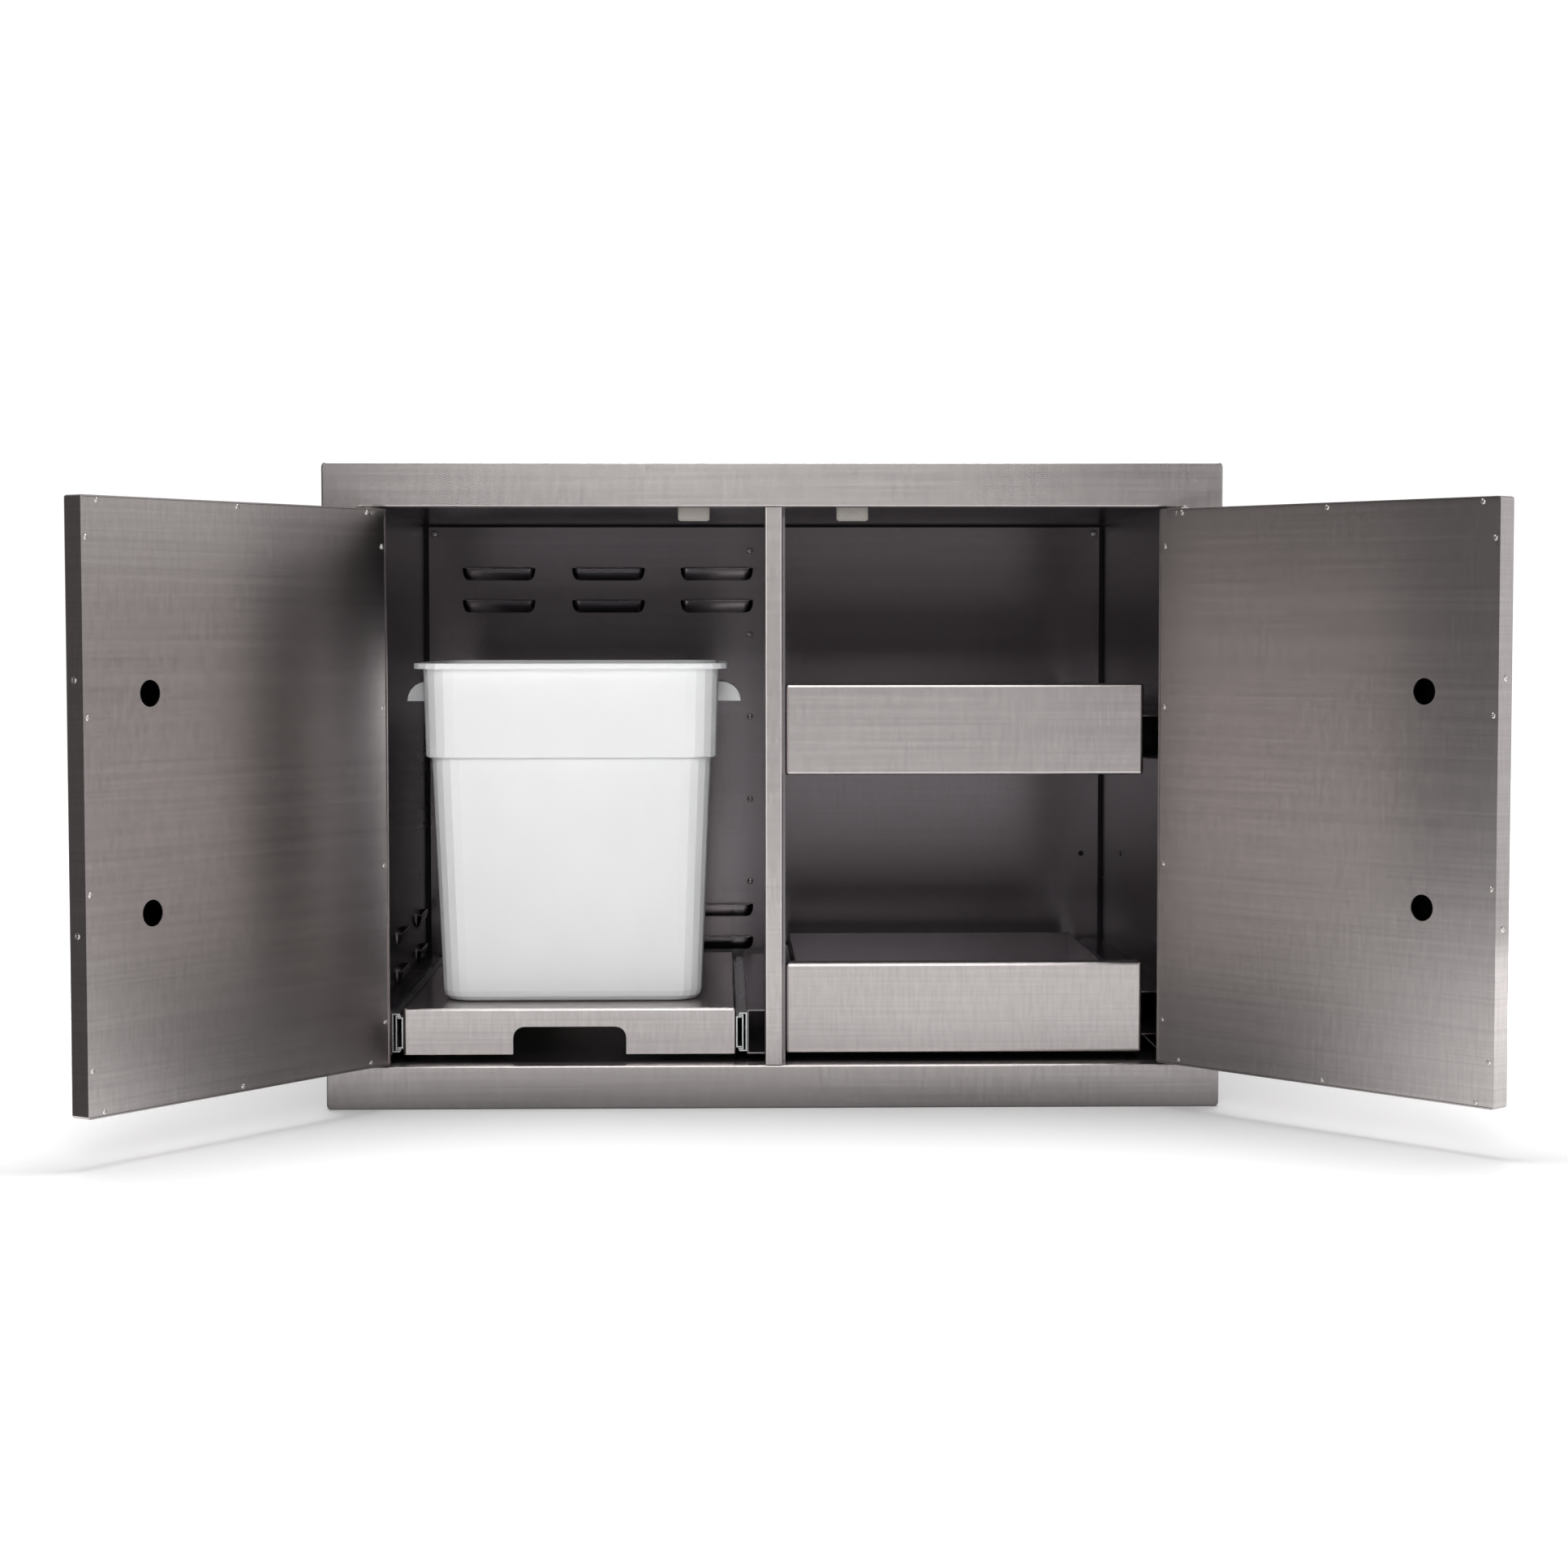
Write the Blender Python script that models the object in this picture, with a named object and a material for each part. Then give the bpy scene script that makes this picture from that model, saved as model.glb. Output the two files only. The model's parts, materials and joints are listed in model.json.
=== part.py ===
"""Built-in double-door cabinet: a pull-out tray with a trash bin on the left, two inner drawers on the right.

Metres, +Z up, +X to the right of someone facing the doors, +Y to the back. The origin is the middle of the
face frame's bottom edge. Depths are measured from the front plane of the face frame towards the back.
Everything is drawn with the doors closed; the two hinge empties then turn the doors to their resting angle.
"""

import math

import bmesh
import bpy

# Face frame and cabinet box
FACE_WIDTH = 0.800
FACE_HEIGHT = 0.577
FRAME_DEPTH = 0.022
FRAME_LIP = 0.012
OPENING_HALF = 0.367
OPENING_BOTTOM = 0.039
OPENING_TOP = 0.5375
FACE_CORNER = 0.004
SHEET = 0.0012
GAP = 0.0003
BOX_HALF = 0.3595
BOX_FLOOR = 0.0380
BOX_CEILING = 0.540
BOX_DEPTH = 0.510
BOX_FLANGE = 0.020
MULLION_WIDTH = 0.016
MULLION_DEPTH = 0.020
DIVIDER_X = -0.001
DIVIDER_FLANGE = 0.0105

# Doors
DOOR_EDGE = 0.365
DOOR_WIDTH = 0.355
DOOR_DEPTH = 0.020
DOOR_BOTTOM = 0.041
DOOR_TOP = 0.5355
PIVOT_INSET = 0.0055
PIVOT_DEPTH = 0.003
PIN_RADIUS = 0.0015
PIN_HOLE_RADIUS = 0.00175
LEFT_DOOR_ANGLE = 125.5
RIGHT_DOOR_ANGLE = 131.0
LINER_RECESS = 0.0008
HANDLE_FROM_HINGE = 0.283
HANDLE_CENTRE_Z = 0.289
HANDLE_POST_SPACING = 0.178
HANDLE_LENGTH = 0.250
HANDLE_STAND_OFF = 0.036
HANDLE_RADIUS = 0.0064
POST_RADIUS = 0.0050
ACCESS_HOLE_RADIUS = 0.011

# Pull-out pieces, pushed in: their fronts stand just behind the closed doors
INNER_FRONT = 0.024
TRAY_SLIDE_START = 0.026
DRAWER_SLIDE_START = 0.044
SLIDE_LENGTH = 0.450
SLIDE_HEIGHT = 0.035
RAIL_HEIGHT = 0.040
TRAY_LEFT = -0.334
TRAY_RIGHT = -0.034
TRAY_TOP = 0.088
TRAY_BOTTOM = 0.046
TRAY_LENGTH = 0.450
TRAY_SLIDE_Z = 0.0655
TRAY_SLIDE_WIDTH = 0.0097
CUT_OUT_WIDTH = 0.102
CUT_OUT_TOP = 0.071
CUT_OUT_RADIUS = 0.010
DRAWER_LEFT = 0.011
DRAWER_RIGHT = 0.334
DRAWER_FRONT_HEIGHT = 0.082
DRAWER_FRONT_DEPTH = 0.018
DRAWER_BOX_LENGTH = 0.430
DRAWER_BOX_DROP = 0.020
DRAWER_BOX_RISE = 0.008
DRAWER_SLIDE_WIDTH = 0.0124
DRAWER_SLIDE_RISE = 0.033
DRAWER_BOTTOMS = {"upper": 0.298, "lower": 0.046}

# Bin
BIN_SET_BACK = 0.016
BIN_HEIGHT = 0.310
BIN_RIM_HALF = 0.143
BIN_COLLAR_HALF = 0.135
BIN_STEP_HALF = 0.1278
BIN_BASE_HALF = 0.119
BIN_STEP_RISE = 0.223
BIN_BASE_RADIUS = 0.010
BIN_CORNER = 0.032
BIN_RIM_THICK = 0.005
BIN_WALL = 0.003
BIN_HANDLE_HALF = 0.1555
BIN_HANDLE_LENGTH = 0.100
BIN_HANDLE_TOP = 0.292
BIN_HANDLE_DROP = 0.018

FRONT_Y = -FRAME_DEPTH / 2
ARC_STEPS = 3


def behind(depth):
    """Y of a place that lies this far behind the front plane."""
    return FRONT_Y + depth


def clear_scene():
    for old in list(bpy.data.objects):
        bpy.data.objects.remove(old, do_unlink=True)


def metal_or_plastic(name, colour, roughness, metallic):
    material = bpy.data.materials.new(name)
    material.use_nodes = True
    shader = material.node_tree.nodes["Principled BSDF"]
    shader.inputs["Base Color"].default_value = (*colour, 1.0)
    shader.inputs["Roughness"].default_value = roughness
    shader.inputs["Metallic"].default_value = metallic
    return material


def add_object(name, mesh_builder, material, parent=None):
    """An object from a bmesh drawn in the world frame, which its parent empty then carries."""
    bmesh.ops.recalc_face_normals(mesh_builder, faces=mesh_builder.faces)
    mesh = bpy.data.meshes.new(name)
    mesh_builder.to_mesh(mesh)
    mesh_builder.free()
    mesh.shade_smooth()
    mesh.set_sharp_from_angle(angle=math.radians(35))
    made = bpy.data.objects.new(name, mesh)
    bpy.context.scene.collection.objects.link(made)
    if material:
        mesh.materials.append(material)
    if parent:
        made.parent = parent
        made.location = [-value for value in parent.location]
    return made


def joint_empty(name, location, turn=0.0):
    made = bpy.data.objects.new(name, None)
    made.location = location
    made.rotation_euler = (0.0, 0.0, math.radians(turn))
    bpy.context.scene.collection.objects.link(made)
    return made


def boolean(target, tool, operation, name):
    """Joins or cuts target with a hidden tool object that moves with it."""
    tool.hide_render = True
    tool.display_type = "WIRE"
    modifier = target.modifiers.new(name, "BOOLEAN")
    modifier.operation = operation
    modifier.object = tool


def side_loop(axis, side):
    """The four corners of one side of a box, as three bits each, in order around it."""
    first, second = (other for other in range(3) if other != axis)
    loop = []
    for bit_one, bit_two in ((0, 0), (1, 0), (1, 1), (0, 1)):
        bits = [0, 0, 0]
        bits[axis] = side
        bits[first] = bit_one
        bits[second] = bit_two
        loop.append(tuple(bits))
    return loop


def box_corners(mesh, low, high):
    corners = {}
    for bits in ((x, y, z) for x in (0, 1) for y in (0, 1) for z in (0, 1)):
        place = [high[axis] if bits[axis] else low[axis] for axis in range(3)]
        corners[bits] = mesh.verts.new(place)
    return corners


def draw_box(mesh, first, second):
    low = [min(pair) for pair in zip(first, second)]
    high = [max(pair) for pair in zip(first, second)]
    corners = box_corners(mesh, low, high)
    for axis in range(3):
        for side in (0, 1):
            mesh.faces.new([corners[bits] for bits in side_loop(axis, side)])


def draw_open_box(mesh, low, high, wall):
    """A box of sheet with its top open."""
    outer = box_corners(mesh, low, high)
    inner_low = [value + wall for value in low]
    inner_high = [high[0] - wall, high[1] - wall, high[2]]
    inner = box_corners(mesh, inner_low, inner_high)
    for axis in range(3):
        for side in (0, 1):
            loop = side_loop(axis, side)
            if (axis, side) == (2, 1):
                for here, there in zip(loop, loop[1:] + loop[:1]):
                    mesh.faces.new([outer[here], outer[there], inner[there], inner[here]])
            else:
                mesh.faces.new([outer[bits] for bits in loop])
                mesh.faces.new([inner[bits] for bits in loop])


def draw_prism(mesh, outline, axis, start, end):
    """An outline pulled along an axis. Its points hold the other two coordinates, in X, Y, Z order."""
    ends = []
    for value in (start, end):
        ring = []
        for point in outline:
            place = list(point)
            place.insert(axis, value)
            ring.append(mesh.verts.new(place))
        ends.append(ring)
    join_rings(mesh, ends[0], ends[1])
    mesh.faces.new(ends[0])
    mesh.faces.new(ends[1])


def join_rings(mesh, first, second):
    for here in range(len(first)):
        there = (here + 1) % len(first)
        mesh.faces.new([first[here], first[there], second[there], second[here]])


def draw_loft(mesh, rings, closed):
    """Skins equal rings of points. A closed loft joins its last ring to its first; an open one has end caps."""
    made = [[mesh.verts.new(point) for point in ring] for ring in rings]
    for first, second in zip(made, made[1:]):
        join_rings(mesh, first, second)
    if closed:
        join_rings(mesh, made[-1], made[0])
    else:
        mesh.faces.new(made[0])
        mesh.faces.new(made[-1])


def draw_cylinder(mesh, radius, start, end, steps=16):
    """A round bar between two points that differ along one axis only."""
    axis = max(range(3), key=lambda number: abs(end[number] - start[number]))
    centre = [value for number, value in enumerate(start) if number != axis]
    turns = [math.tau * step / steps for step in range(steps)]
    outline = [(centre[0] + radius * math.cos(t), centre[1] + radius * math.sin(t)) for t in turns]
    draw_prism(mesh, outline, axis, start[axis], end[axis])


def round_edges(mesh, edges, radius):
    bmesh.ops.recalc_face_normals(mesh, faces=mesh.faces)
    bmesh.ops.bevel(mesh, geom=edges, offset=radius, segments=2, affect="EDGES")


def rounded_rectangle(low, high, radius, steps=ARC_STEPS):
    """Corner points of a rectangle with round corners, counter-clockwise from its lower right."""
    centres = (
        (high[0] - radius, low[1] + radius, -90),
        (high[0] - radius, high[1] - radius, 0),
        (low[0] + radius, high[1] - radius, 90),
        (low[0] + radius, low[1] + radius, 180),
    )
    points = []
    for x, y, first_angle in centres:
        for step in range(steps + 1):
            angle = math.radians(first_angle + 90 * step / steps)
            points.append((x + radius * math.cos(angle), y + radius * math.sin(angle)))
    return points


def shrunk(low, high, inset, radius):
    """A rounded rectangle drawn inset inside the one from low to high, keeping its corners concentric."""
    smaller_low = [value + inset for value in low]
    smaller_high = [value - inset for value in high]
    return rounded_rectangle(smaller_low, smaller_high, max(radius - inset, SHEET / 3))


def fold_arc(radius, steps=ARC_STEPS):
    """Inset and depth along a fold, from the flat face to the side wall."""
    turns = [math.radians(90 * step / steps) for step in range(steps + 1)]
    return [(radius - radius * math.sin(turn), radius - radius * math.cos(turn)) for turn in turns]


def draw_folded_pan(mesh, low, high, depth, fold, place):
    """A flat face with its four edges folded back. place turns a flat point and a depth into X, Y, Z."""
    levels = fold_arc(fold) + [(0.0, depth), (SHEET, depth), (SHEET, SHEET)]
    rings = []
    for inset, level in levels:
        rings.append([place(point, level) for point in shrunk(low, high, inset, fold)])
    draw_loft(mesh, rings, closed=False)


def facing_front(start):
    """Places flat X, Z points at a depth behind a face that looks at -Y."""
    return lambda point, level: (point[0], behind(start + level), point[1])


def facing_up(top):
    """Places flat X, Y points at a depth below a face that looks at +Z."""
    return lambda point, level: (point[0], point[1], top - level)


def make_face_frame(material):
    """A flat ring with its outer and inner edges folded back, and a lip that lies against the wall."""
    outer_low = (-FACE_WIDTH / 2, 0.0)
    outer_high = (FACE_WIDTH / 2, FACE_HEIGHT)
    inner_low = (-OPENING_HALF, OPENING_BOTTOM)
    inner_high = (OPENING_HALF, OPENING_TOP)
    fold = fold_arc(0.0015)
    outer = [(FRAME_LIP, FRAME_DEPTH), (0.0, FRAME_DEPTH)] + fold[::-1]
    inner = fold + [(0.0, FRAME_DEPTH), (SHEET, FRAME_DEPTH), (SHEET, SHEET)]
    back = [(SHEET, SHEET), (SHEET, FRAME_DEPTH - SHEET), (FRAME_LIP, FRAME_DEPTH - SHEET)]
    place = facing_front(0.0)
    rings = []
    for inset, level in outer:
        rings.append([place(p, level) for p in shrunk(outer_low, outer_high, inset, FACE_CORNER)])
    for inset, level in inner:
        rings.append([place(p, level) for p in shrunk(inner_low, inner_high, -inset, FACE_CORNER / 2)])
    for inset, level in back:
        rings.append([place(p, level) for p in shrunk(outer_low, outer_high, inset, FACE_CORNER)])
    mesh = bmesh.new()
    draw_loft(mesh, rings, closed=True)
    frame = add_object("face_frame", mesh, material)
    holes = bmesh.new()
    for side in (-1, 1):
        for flange in (OPENING_BOTTOM - SHEET / 2, OPENING_TOP + SHEET / 2):
            x = side * (DOOR_EDGE - PIVOT_INSET)
            y = behind(PIVOT_DEPTH)
            draw_cylinder(holes, PIN_HOLE_RADIUS, (x, y, flange - 2 * SHEET), (x, y, flange + 2 * SHEET), 12)
    boolean(frame, add_object("pivot_hole_cutter", holes, None), "DIFFERENCE", "pivot_holes")


def folded_channel(half_width, front, depth, fold):
    """Plan outline of a channel open to the back, with its two front edges folded round."""
    arc = fold_arc(fold)
    right = [(half_width - inset, behind(front + level)) for inset, level in arc]
    right += [(half_width, behind(front + depth)), (half_width - SHEET, behind(front + depth))]
    right.append((half_width - SHEET, behind(front + SHEET)))
    left = [(-x, y) for x, y in right]
    return right + left[::-1]


def make_mullion(material):
    mesh = bmesh.new()
    outline = folded_channel(MULLION_WIDTH / 2, 0.0, MULLION_DEPTH, 0.002)
    draw_prism(mesh, outline, 2, OPENING_BOTTOM + GAP, OPENING_TOP - GAP)
    add_object("centre_mullion", mesh, material)


def slot_cutter(name, places, size):
    """One tool of many boxes. places are the slots' centres."""
    mesh = bmesh.new()
    for centre in places:
        low = [value - extent / 2 for value, extent in zip(centre, size)]
        high = [value + extent / 2 for value, extent in zip(centre, size)]
        draw_box(mesh, low, high)
    return add_object(name, mesh, None)


def make_side_panels(material):
    """Flat walls with a front flange that lies behind the face frame. The left one is vented."""
    front = behind(FRAME_DEPTH + GAP)
    back = behind(BOX_DEPTH - GAP)
    outline = [
        (BOX_HALF, front),
        (BOX_HALF + BOX_FLANGE, front),
        (BOX_HALF + BOX_FLANGE, front + SHEET),
        (BOX_HALF + SHEET, front + SHEET),
        (BOX_HALF + SHEET, back),
        (BOX_HALF, back),
    ]
    for name, side in (("left", -1), ("right", 1)):
        mesh = bmesh.new()
        points = [(side * x, y) for x, y in outline]
        draw_prism(mesh, points, 2, BOX_FLOOR - 2 * SHEET, BOX_CEILING + 2 * SHEET)
        panel = add_object(f"{name}_side_panel", mesh, material)
        if name == "left":
            wall = -BOX_HALF - SHEET / 2
            slots = [(wall, behind(y), z) for y in (0.247, 0.425) for z in (0.129, 0.093)]
            cutter = slot_cutter("side_vent_cutter", slots, (4 * SHEET, 0.066, 0.005))
            boolean(panel, cutter, "DIFFERENCE", "vents")


def make_top_and_bottom(material):
    """Panels with a flange that is turned up, or down, behind the face frame's rails."""
    front = behind(FRAME_DEPTH + GAP)
    back = behind(BOX_DEPTH - GAP)
    for name, level, way in (("top", BOX_CEILING, 1), ("bottom", BOX_FLOOR, -1)):
        outline = [
            (front, level),
            (front, level + way * BOX_FLANGE),
            (front + SHEET, level + way * BOX_FLANGE),
            (front + SHEET, level + way * SHEET),
            (back, level + way * SHEET),
            (back, level),
        ]
        mesh = bmesh.new()
        draw_prism(mesh, outline, 0, -BOX_HALF + GAP, BOX_HALF - GAP)
        add_object(f"{name}_panel", mesh, material)


def make_back_panel(material):
    mesh = bmesh.new()
    half = BOX_HALF + SHEET
    low = (-half, behind(BOX_DEPTH), BOX_FLOOR - 2 * SHEET)
    draw_box(mesh, low, (half, behind(BOX_DEPTH + SHEET), BOX_CEILING + 2 * SHEET))
    panel = add_object("back_panel", mesh, material)
    middle = behind(BOX_DEPTH + SHEET / 2)
    slots = [(x, middle, z) for x in (-0.282, -0.166, -0.051) for z in (0.487, 0.453, 0.129, 0.094)]
    cutter = slot_cutter("back_vent_cutter", slots, (0.072, 4 * SHEET, 0.005))
    boolean(panel, cutter, "DIFFERENCE", "vents")


def make_divider(material):
    """The upright sheet between the two compartments, with a narrow flange that faces the doors."""
    right = DIVIDER_X + SHEET
    front = behind(INNER_FRONT)
    back = behind(BOX_DEPTH - GAP)
    outline = [
        (DIVIDER_X, front),
        (right + DIVIDER_FLANGE, front),
        (right + DIVIDER_FLANGE, front + SHEET),
        (right, front + SHEET),
        (right, back),
        (DIVIDER_X, back),
    ]
    mesh = bmesh.new()
    draw_prism(mesh, outline, 2, BOX_FLOOR + GAP, BOX_CEILING - GAP)
    add_object("centre_divider", mesh, material)


def make_catches(material):
    for name, side in (("left", -1), ("right", 1)):
        mesh = bmesh.new()
        low = (side * 0.057, behind(FRAME_DEPTH + 2 * GAP), 0.526)
        draw_box(mesh, low, (side * 0.085, behind(0.038), BOX_CEILING - GAP))
        round_edges(mesh, mesh.edges[:], 0.0012)
        add_object(f"{name}_magnet_catch", mesh, material)


def make_door(name, side, angle, steel, bright):
    """One door on its hinge empty, drawn closed. side is -1 on the left and 1 on the right."""
    pivot_x = side * (DOOR_EDGE - PIVOT_INSET)
    pivot_y = behind(PIVOT_DEPTH)
    hinge = joint_empty(f"{name}_door_hinge", (pivot_x, pivot_y, DOOR_BOTTOM), side * angle)
    edges = sorted((side * DOOR_EDGE, side * (DOOR_EDGE - DOOR_WIDTH)))
    low = (edges[0], DOOR_BOTTOM)
    high = (edges[1], DOOR_TOP)

    shell = bmesh.new()
    draw_folded_pan(shell, low, high, DOOR_DEPTH, 0.002, facing_front(0.0))
    add_object(f"{name}_door_shell", shell, steel, hinge)
    make_liner(name, low, high, side, steel, hinge)
    make_handle(name, side, bright, hinge)
    make_pivots(name, side, pivot_x, pivot_y, bright, hinge)


def make_liner(name, low, high, side, material, hinge):
    """The inner sheet, slightly sunk in the shell, with two access holes for the handle's screws."""
    inset = SHEET + GAP
    back = DOOR_DEPTH - LINER_RECESS
    sheet = bmesh.new()
    first = (low[0] + inset, behind(back - SHEET), low[1] + inset)
    draw_box(sheet, first, (high[0] - inset, behind(back), high[1] - inset))
    liner = add_object(f"{name}_door_liner", sheet, material, hinge)
    holes = bmesh.new()
    x = side * (DOOR_EDGE - HANDLE_FROM_HINGE)
    for z in post_heights():
        start = (x, behind(back - 3 * SHEET), z)
        draw_cylinder(holes, ACCESS_HOLE_RADIUS, start, (x, behind(back + 2 * SHEET), z), 24)
    cutter = add_object(f"{name}_access_hole_cutter", holes, None, hinge)
    boolean(liner, cutter, "DIFFERENCE", "access_holes")


def post_heights():
    half = HANDLE_POST_SPACING / 2
    return {"lower": HANDLE_CENTRE_Z - half, "upper": HANDLE_CENTRE_Z + half}.values()


def make_handle(name, side, material, hinge):
    """A round bar on two posts, on the door's outer face."""
    x = side * (DOOR_EDGE - HANDLE_FROM_HINGE)
    centre = -HANDLE_STAND_OFF
    half = HANDLE_LENGTH / 2
    bar = bmesh.new()
    start = (x, behind(centre), HANDLE_CENTRE_Z - half)
    draw_cylinder(bar, HANDLE_RADIUS, start, (x, behind(centre), HANDLE_CENTRE_Z + half), 24)
    rims = [edge for edge in bar.edges if abs(edge.verts[0].co.z - edge.verts[1].co.z) < GAP]
    round_edges(bar, rims, 0.001)
    add_object(f"{name}_door_handle_bar", bar, material, hinge)
    for place, z in zip(("lower", "upper"), post_heights()):
        post = bmesh.new()
        near_bar = (x, behind(centre + HANDLE_RADIUS + GAP), z)
        draw_cylinder(post, POST_RADIUS, near_bar, (x, behind(-GAP), z), 20)
        add_object(f"{name}_door_{place}_handle_post", post, material, hinge)


def make_pivots(name, side, pivot_x, pivot_y, material, hinge):
    """A small plate with a pin at each end of the door. The pins turn in the face frame's holes."""
    ends = (("top", DOOR_TOP, 1), ("bottom", DOOR_BOTTOM, -1))
    for place, door_end, way in ends:
        plate_start = door_end + way * GAP
        plate_end = plate_start + way * SHEET
        plate = bmesh.new()
        first = (pivot_x + side * 0.0045, behind(0.0005), plate_start)
        draw_box(plate, first, (pivot_x - side * 0.0115, behind(0.0105), plate_end))
        pivot = add_object(f"{name}_door_{place}_pivot", plate, material, hinge)
        pin = bmesh.new()
        start = (pivot_x, pivot_y, plate_start + way * SHEET / 2)
        draw_cylinder(pin, PIN_RADIUS, start, (pivot_x, pivot_y, plate_start + way * 0.0052), 12)
        tool = add_object(f"{name}_{place}_pin_tool", pin, None, hinge)
        boolean(pivot, tool, "UNION", "pin")


def slide_outlines(width):
    """X, Z outlines of the outer, middle and inner members, from the cabinet side to the drawer side."""
    lip = SLIDE_HEIGHT / 2
    web = {"outer": 0.0, "middle": width * 0.33, "inner": width}
    reach = {"outer": width * 0.72, "middle": width * 0.80, "inner": width * 0.50}
    half = {"outer": lip, "middle": lip - 0.0017, "inner": lip - 0.0034}
    sheet = 0.0011
    outlines = {}
    for member, start in web.items():
        way = -1 if member == "inner" else 1
        top = half[member]
        upper = [
            (start, top),
            (reach[member], top),
            (reach[member], top - sheet),
            (start + way * sheet, top - sheet),
        ]
        outlines[member] = upper + [(x, -z) for x, z in reversed(upper)]
    return outlines


def make_slide(name, wall_x, way, z, width, start, material, moving):
    """Three telescoping channels. way is 1 where the drawer lies at greater X than the cabinet side."""
    for member, outline in slide_outlines(width).items():
        mesh = bmesh.new()
        points = [(wall_x + way * x, z + rise) for x, rise in outline]
        draw_prism(mesh, points, 1, behind(start), behind(start + SLIDE_LENGTH))
        add_object(f"{name}_slide_{member}", mesh, material, moving.get(member))


def make_mounting_rail(name, wall_x, slide_x, z, slide_start, material):
    """A channel that spans from the cabinet wall to the slide, with its web on the slide's side."""
    way = 1 if slide_x > wall_x else -1
    start = wall_x + way * GAP
    end = slide_x - way * GAP
    half = RAIL_HEIGHT / 2
    upper = [(end, z + half), (start, z + half), (start, z + half - SHEET), (end - way * SHEET, z + half - SHEET)]
    lower = [(x, 2 * z - height) for x, height in reversed(upper)]
    mesh = bmesh.new()
    first_y = behind(slide_start + SHEET)
    draw_prism(mesh, upper + lower, 1, first_y, behind(slide_start + SLIDE_LENGTH))
    add_object(f"{name}_mounting_rail", mesh, material)


def make_slide_pair(name, left, right, z, width, start, zinc, steel, moving):
    """Slides on both sides of a pull-out piece that reaches from left to right."""
    left_wall = -BOX_HALF if left < 0 else DIVIDER_X + SHEET
    right_wall = DIVIDER_X if left < 0 else BOX_HALF
    for side, edge, wall, way in (("left", left, left_wall, 1), ("right", right, right_wall, -1)):
        slide_x = edge - way * (width + GAP)
        make_slide(f"{name}_{side}", slide_x, way, z, width, start, zinc, moving)
        make_mounting_rail(f"{name}_{side}", wall, slide_x, z, start, steel)


def make_tray(steel, zinc):
    """An inverted pan on two slides, with a finger cut-out in its front flange."""
    middle_x = (TRAY_LEFT + TRAY_RIGHT) / 2
    carrier = joint_empty("tray_slide", (middle_x, behind(INNER_FRONT), TRAY_SLIDE_Z))
    halfway = joint_empty("tray_middle_slides", (middle_x, behind(TRAY_SLIDE_START), TRAY_SLIDE_Z))
    pan = bmesh.new()
    low = (TRAY_LEFT, behind(INNER_FRONT))
    high = (TRAY_RIGHT, behind(INNER_FRONT + TRAY_LENGTH))
    draw_folded_pan(pan, low, high, TRAY_TOP - TRAY_BOTTOM, 0.0025, facing_up(TRAY_TOP))
    tray = add_object("trash_tray", pan, steel, carrier)
    cut = bmesh.new()
    half = CUT_OUT_WIDTH / 2
    below = TRAY_BOTTOM - 2 * CUT_OUT_RADIUS
    outline = rounded_rectangle((middle_x - half, below), (middle_x + half, CUT_OUT_TOP), CUT_OUT_RADIUS, 5)
    draw_prism(cut, outline, 1, behind(INNER_FRONT - 0.010), behind(INNER_FRONT + 0.010))
    boolean(tray, add_object("finger_cutter", cut, None, carrier), "DIFFERENCE", "finger_cut_out")
    moving = {"middle": halfway, "inner": carrier}
    make_slide_pair("tray", TRAY_LEFT, TRAY_RIGHT, TRAY_SLIDE_Z, TRAY_SLIDE_WIDTH, TRAY_SLIDE_START,
                    zinc, steel, moving)


def make_drawer(name, bottom, steel, zinc):
    """A folded front with an open box behind it, on two slides."""
    middle_x = (DRAWER_LEFT + DRAWER_RIGHT) / 2
    slide_z = bottom + DRAWER_SLIDE_RISE
    carrier = joint_empty(f"{name}_drawer_slide", (middle_x, behind(INNER_FRONT), slide_z))
    halfway = joint_empty(f"{name}_drawer_middle_slides", (middle_x, behind(DRAWER_SLIDE_START), slide_z))
    top = bottom + DRAWER_FRONT_HEIGHT
    front = bmesh.new()
    low = (DRAWER_LEFT, bottom)
    draw_folded_pan(front, low, (DRAWER_RIGHT, top), DRAWER_FRONT_DEPTH, 0.0028, facing_front(INNER_FRONT))
    add_object(f"{name}_drawer_front", front, steel, carrier)
    inset = DRAWER_SLIDE_WIDTH + 2 * GAP
    start = INNER_FRONT + DRAWER_FRONT_DEPTH + GAP
    box = bmesh.new()
    box_low = (DRAWER_LEFT + inset, behind(start), bottom + DRAWER_BOX_RISE)
    box_high = (DRAWER_RIGHT - inset, behind(start + DRAWER_BOX_LENGTH), top - DRAWER_BOX_DROP)
    draw_open_box(box, box_low, box_high, SHEET)
    add_object(f"{name}_drawer_box", box, steel, carrier)
    moving = {"middle": halfway, "inner": carrier}
    left = DRAWER_LEFT + inset - GAP
    right = DRAWER_RIGHT - inset + GAP
    make_slide_pair(f"{name}_drawer", left, right, slide_z, DRAWER_SLIDE_WIDTH, DRAWER_SLIDE_START,
                    zinc, steel, moving)


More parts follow.
